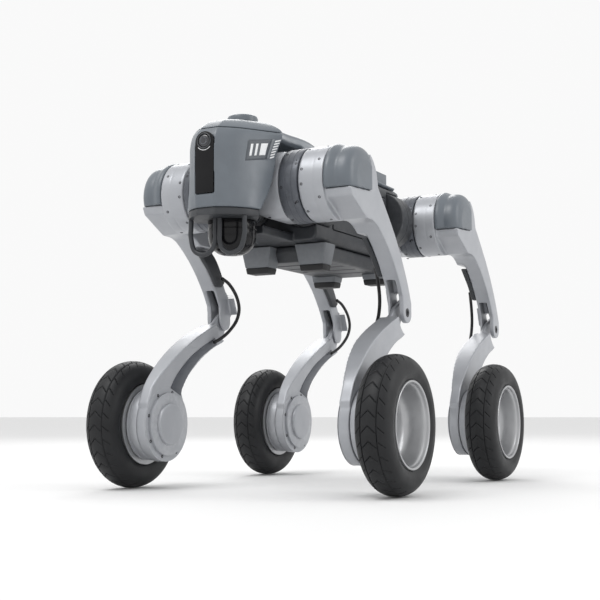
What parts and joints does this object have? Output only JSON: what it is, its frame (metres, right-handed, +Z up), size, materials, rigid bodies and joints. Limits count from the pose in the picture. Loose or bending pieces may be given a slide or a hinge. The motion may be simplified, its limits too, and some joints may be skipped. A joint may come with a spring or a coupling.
{
  "type": "wheeled quadruped robot dog",
  "caption": "Four-legged robot dog with driven rubber wheels for feet, jointed hips and knees, a grey head shell with a camera panel and a guarded lidar under the chin.",
  "frame": {"origin": "on the floor under the centre of the robot's box, at rest on its four wheels", "axes": "+Z up, the head faces -Y, +X is the robot's left side"},
  "size_m": [0.4514, 0.682, 0.4985],
  "materials": {
    "shell_grey": "satin blue-grey moulded plastic",
    "dark_grey": "matte dark grey",
    "silver": "satin light silver paint",
    "rim_silver": "satin machined aluminium",
    "black": "gloss black",
    "glass": "polished black glass look",
    "rubber": "matte black",
    "tyre": "matte black tread rubber"
  },
  "bodies": {
    "base": {"lower_shell": "dark_grey", "battery_pack": "dark_grey", "back_cover": "shell_grey", "rear_box": "shell_grey", "belly_pan": "dark_grey", "head_shell": "shell_grey", "face_panel": "glass", "camera_lens": "glass", "sensor_puck": "shell_grey", "chin_bezel": "dark_grey", "lidar_dome": "black", "lidar_guard": "dark_grey", "abduction_motor_FL": "dark_grey", "abduction_motor_FR": "dark_grey", "abduction_motor_RL": "dark_grey", "abduction_motor_RR": "dark_grey"},
    "hip_FL": {"hip_bracket_FL": "silver", "hip_motor_FL": "dark_grey"},
    "upper_leg_FL": {"thigh_FL": "silver", "shoulder_cap_FL": "shell_grey", "thigh_cover_FL": "dark_grey", "leg_cable_FL": "rubber"},
    "lower_leg_FL": {"calf_FL": "silver", "hub_motor_FL": "silver"},
    "wheel_FL": {"rim_FL": "rim_silver", "tyre_FL": "tyre"},
    "rod_FL": {"push_rod_FL": "dark_grey"},
    "hip_FR": {"hip_bracket_FR": "silver", "hip_motor_FR": "dark_grey"},
    "upper_leg_FR": {"thigh_FR": "silver", "shoulder_cap_FR": "shell_grey", "thigh_cover_FR": "dark_grey", "leg_cable_FR": "rubber"},
    "lower_leg_FR": {"calf_FR": "silver", "hub_motor_FR": "silver"},
    "wheel_FR": {"rim_FR": "rim_silver", "tyre_FR": "tyre"},
    "rod_FR": {"push_rod_FR": "dark_grey"},
    "hip_RL": {"hip_bracket_RL": "silver", "hip_motor_RL": "dark_grey"},
    "upper_leg_RL": {"thigh_RL": "silver", "shoulder_cap_RL": "shell_grey", "thigh_cover_RL": "dark_grey", "leg_cable_RL": "rubber"},
    "lower_leg_RL": {"calf_RL": "silver", "hub_motor_RL": "silver"},
    "wheel_RL": {"rim_RL": "rim_silver", "tyre_RL": "tyre"},
    "rod_RL": {"push_rod_RL": "dark_grey"},
    "hip_RR": {"hip_bracket_RR": "silver", "hip_motor_RR": "dark_grey"},
    "upper_leg_RR": {"thigh_RR": "silver", "shoulder_cap_RR": "shell_grey", "thigh_cover_RR": "dark_grey", "leg_cable_RR": "rubber"},
    "lower_leg_RR": {"calf_RR": "silver", "hub_motor_RR": "silver"},
    "wheel_RR": {"rim_RR": "rim_silver", "tyre_RR": "tyre"},
    "rod_RR": {"push_rod_RR": "dark_grey"}
  },
  "joints": [
    {"name": "abduction_FL", "type": "hinge", "parent": "base", "child": "hip_FL", "pos_m": [0.0465, -0.2052, 0.4035], "axis": [0, 1, 0], "range_deg": [-48, 35]},
    {"name": "hip_FL", "type": "hinge", "parent": "hip_FL", "child": "upper_leg_FL", "pos_m": [0.12, -0.2052, 0.4035], "axis": [1, 0, 0], "range_deg": [-131, 75]},
    {"name": "knee_FL", "type": "hinge", "parent": "upper_leg_FL", "child": "lower_leg_FL", "pos_m": [0.1465, -0.0637, 0.242], "axis": [-1, 0, 0], "range_deg": [-37, 45], "deforming": ["leg_cable_FL"]},
    {"name": "rod_FL", "type": "hinge", "parent": "lower_leg_FL", "child": "rod_FL", "pos_m": [0.15, -0.0507, 0.2572], "axis": [-1, 0, 0], "range_deg": [-46, 38]},
    {"name": "wheel_FL", "type": "hinge", "parent": "lower_leg_FL", "child": "wheel_FL", "pos_m": [0.2017, -0.2052, 0.089], "axis": [1, 0, 0], "continuous": true},
    {"name": "abduction_FR", "type": "hinge", "parent": "base", "child": "hip_FR", "pos_m": [-0.0465, -0.2052, 0.4035], "axis": [0, 1, 0], "range_deg": [-35, 48]},
    {"name": "hip_FR", "type": "hinge", "parent": "hip_FR", "child": "upper_leg_FR", "pos_m": [-0.12, -0.2052, 0.4035], "axis": [1, 0, 0], "range_deg": [-131, 75]},
    {"name": "knee_FR", "type": "hinge", "parent": "upper_leg_FR", "child": "lower_leg_FR", "pos_m": [-0.1465, -0.0637, 0.242], "axis": [-1, 0, 0], "range_deg": [-37, 45], "deforming": ["leg_cable_FR"]},
    {"name": "rod_FR", "type": "hinge", "parent": "lower_leg_FR", "child": "rod_FR", "pos_m": [-0.15, -0.0507, 0.2572], "axis": [-1, 0, 0], "range_deg": [-46, 38]},
    {"name": "wheel_FR", "type": "hinge", "parent": "lower_leg_FR", "child": "wheel_FR", "pos_m": [-0.2017, -0.2052, 0.089], "axis": [1, 0, 0], "continuous": true},
    {"name": "abduction_RL", "type": "hinge", "parent": "base", "child": "hip_RL", "pos_m": [0.0465, 0.1816, 0.4035], "axis": [0, 1, 0], "range_deg": [-48, 35]},
    {"name": "hip_RL", "type": "hinge", "parent": "hip_RL", "child": "upper_leg_RL", "pos_m": [0.12, 0.1816, 0.4035], "axis": [1, 0, 0], "range_deg": [-38, 170]},
    {"name": "knee_RL", "type": "hinge", "parent": "upper_leg_RL", "child": "lower_leg_RL", "pos_m": [0.1465, 0.3231, 0.242], "axis": [-1, 0, 0], "range_deg": [-37, 45], "deforming": ["leg_cable_RL"]},
    {"name": "rod_RL", "type": "hinge", "parent": "lower_leg_RL", "child": "rod_RL", "pos_m": [0.15, 0.3361, 0.2572], "axis": [-1, 0, 0], "range_deg": [-46, 38]},
    {"name": "wheel_RL", "type": "hinge", "parent": "lower_leg_RL", "child": "wheel_RL", "pos_m": [0.2017, 0.1816, 0.089], "axis": [1, 0, 0], "continuous": true},
    {"name": "abduction_RR", "type": "hinge", "parent": "base", "child": "hip_RR", "pos_m": [-0.0465, 0.1816, 0.4035], "axis": [0, 1, 0], "range_deg": [-35, 48]},
    {"name": "hip_RR", "type": "hinge", "parent": "hip_RR", "child": "upper_leg_RR", "pos_m": [-0.12, 0.1816, 0.4035], "axis": [1, 0, 0], "range_deg": [-38, 170]},
    {"name": "knee_RR", "type": "hinge", "parent": "upper_leg_RR", "child": "lower_leg_RR", "pos_m": [-0.1465, 0.3231, 0.242], "axis": [-1, 0, 0], "range_deg": [-37, 45], "deforming": ["leg_cable_RR"]},
    {"name": "rod_RR", "type": "hinge", "parent": "lower_leg_RR", "child": "rod_RR", "pos_m": [-0.15, 0.3361, 0.2572], "axis": [-1, 0, 0], "range_deg": [-46, 38]},
    {"name": "wheel_RR", "type": "hinge", "parent": "lower_leg_RR", "child": "wheel_RR", "pos_m": [-0.2017, 0.1816, 0.089], "axis": [1, 0, 0], "continuous": true}
  ],
  "couplings": [
    {"joint": "rod_FL", "follows": "knee_FL", "ratio": -1},
    {"joint": "rod_FR", "follows": "knee_FR", "ratio": -1},
    {"joint": "rod_RL", "follows": "knee_RL", "ratio": -1},
    {"joint": "rod_RR", "follows": "knee_RR", "ratio": -1}
  ]
}
